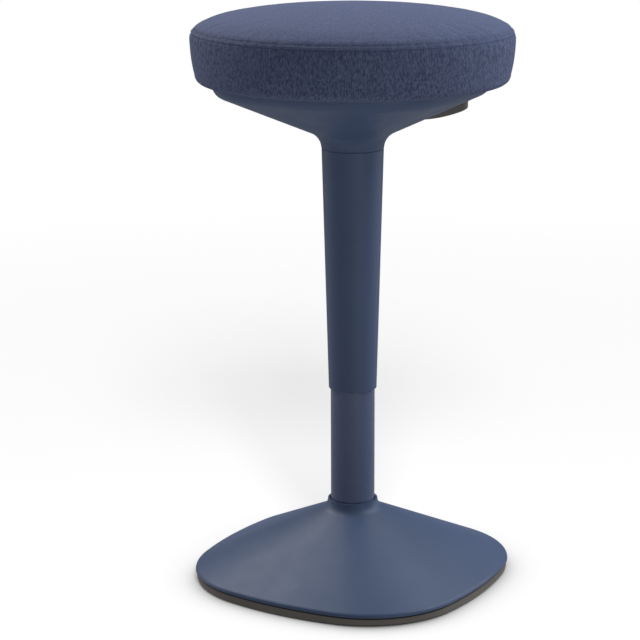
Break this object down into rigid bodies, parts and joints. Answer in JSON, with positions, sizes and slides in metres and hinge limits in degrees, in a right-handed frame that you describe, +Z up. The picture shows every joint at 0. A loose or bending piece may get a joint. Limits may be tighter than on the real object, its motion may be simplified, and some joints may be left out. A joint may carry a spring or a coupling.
{
  "type": "wobble stool",
  "caption": "Round padded stool on a swivelling height-adjustable column over a weighted rocking base, with a release lever under the seat.",
  "frame": {"origin": "on the floor, on the column's axis, with the stool upright", "axes": "+Z up along the column; the flat sides of the base and of the seat pan face +X, -X, +Y and -Y; the release lever lies between +X and +Y"},
  "size_m": [0.3554, 0.3554, 0.6531],
  "materials": {
    "rubber_dark": "matt moulded",
    "navy_plastic": "fine-grained moulded",
    "navy_paint": "satin powder coat",
    "cast_iron": "rough cast, painted",
    "steel": "plain turned",
    "black_steel": "black powder coat",
    "black_plastic": "moulded",
    "lever_plastic": "fine-grained moulded",
    "plywood": "plain birch plywood",
    "foam": "open-cell foam",
    "navy_fabric": "melange weave"
  },
  "bodies": {
    "base": {"rocker_pad": "rubber_dark", "pad_screws": "steel", "ballast_plate": "cast_iron", "shell_screws": "steel", "base_shell": "navy_plastic", "collar_ring": "rubber_dark", "column_tube": "navy_paint", "tube_end_plate": "steel", "guide_bush": "black_plastic", "bearing_lower_race": "steel"},
    "bearing": {"bearing_cage": "black_plastic", "bearing_balls": "steel"},
    "rod": {"bearing_upper_race": "steel", "piston_rod": "steel", "rod_clip": "steel", "rod_buffer": "rubber_dark", "piston": "steel", "piston_seal": "rubber_dark", "piston_nut": "steel"},
    "seat": {"gas_cylinder": "black_steel", "rod_seal": "rubber_dark", "rod_guide": "black_plastic", "valve_body": "steel", "column_sleeve": "navy_plastic", "seat_pan": "navy_plastic", "pan_retaining_ring": "steel", "seat_plate": "black_steel", "plate_bolts": "steel", "tee_nuts": "steel", "lever_pivot_pin": "steel", "pivot_clips": "steel", "seat_board": "plywood", "foam_core": "foam", "seat_cover": "navy_fabric"},
    "lever": {"lever_arm": "black_steel", "lever_paddle": "lever_plastic"},
    "pin": {"release_pin": "steel"}
  },
  "joints": [
    {"name": "seat_swivel", "type": "hinge", "parent": "base", "child": "rod", "pos_m": [0, 0, 0.03], "axis": [0, 0, 1], "continuous": true},
    {"name": "bearing_spin", "type": "hinge", "parent": "base", "child": "bearing", "pos_m": [0, 0, 0.03], "axis": [0, 0, 1], "continuous": true},
    {"name": "seat_lift", "type": "slide", "parent": "rod", "child": "seat", "axis": [0, 0, 1], "range_m": [-0.12, 0.08]},
    {"name": "lever_pull", "type": "hinge", "parent": "seat", "child": "lever", "pos_m": [0.01697, 0.01697, 0.5608], "axis": [0.7071, -0.7071, 0], "range_deg": [0, 6], "stiffness_Nm_per_rad": 4, "springref_deg": -5.73},
    {"name": "pin_press", "type": "slide", "parent": "seat", "child": "pin", "axis": [0, 0, -1], "range_m": [0, 0.0026]}
  ],
  "couplings": [
    {"joint": "bearing_spin", "follows": "seat_swivel", "ratio": 0.5},
    {"joint": "pin_press", "follows": "lever_pull", "m_per_rad": 0.024}
  ]
}
